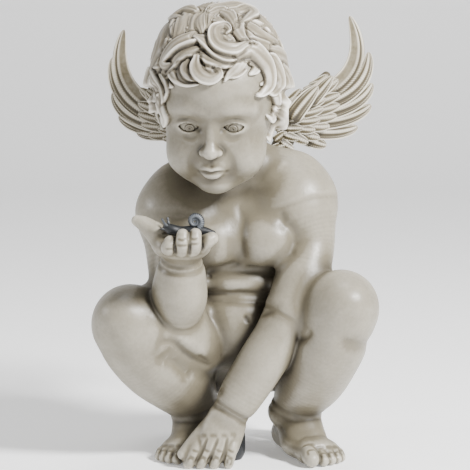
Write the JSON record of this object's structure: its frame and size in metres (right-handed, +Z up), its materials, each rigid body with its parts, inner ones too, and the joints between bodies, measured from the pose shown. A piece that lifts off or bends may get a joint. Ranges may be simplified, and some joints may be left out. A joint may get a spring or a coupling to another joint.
{
  "type": "cherub garden statue",
  "caption": "Garden statue of a crouching winged cherub that rests one hand on the ground and looks at a snail in its raised palm.",
  "frame": {"origin": "on the ground, under the middle of the statue's bounding box", "axes": "+Z up; the statue faces -Y; +X is towards its own left side, the right of a viewer in front of it"},
  "size_m": [0.28, 0.233, 0.4563],
  "materials": {
    "figure": "cast resin, antiqued ivory paint with a brown wash in the hollows",
    "wing_right": "cast resin, antiqued ivory paint with a heavier brown wash",
    "wing_left": "cast resin, antiqued ivory paint with a heavier brown wash",
    "snail": "cast resin, slate grey paint rubbed lighter on the ridges",
    "stone": "cast resin, slate grey paint",
    "stone_back": "cast resin, slate grey paint"
  },
  "bodies": {
    "root": {"figure": "figure", "wing_right": "wing_right", "wing_left": "wing_left", "snail": "snail", "stone": "stone", "stone_back": "stone_back"}
  },
  "joints": []
}
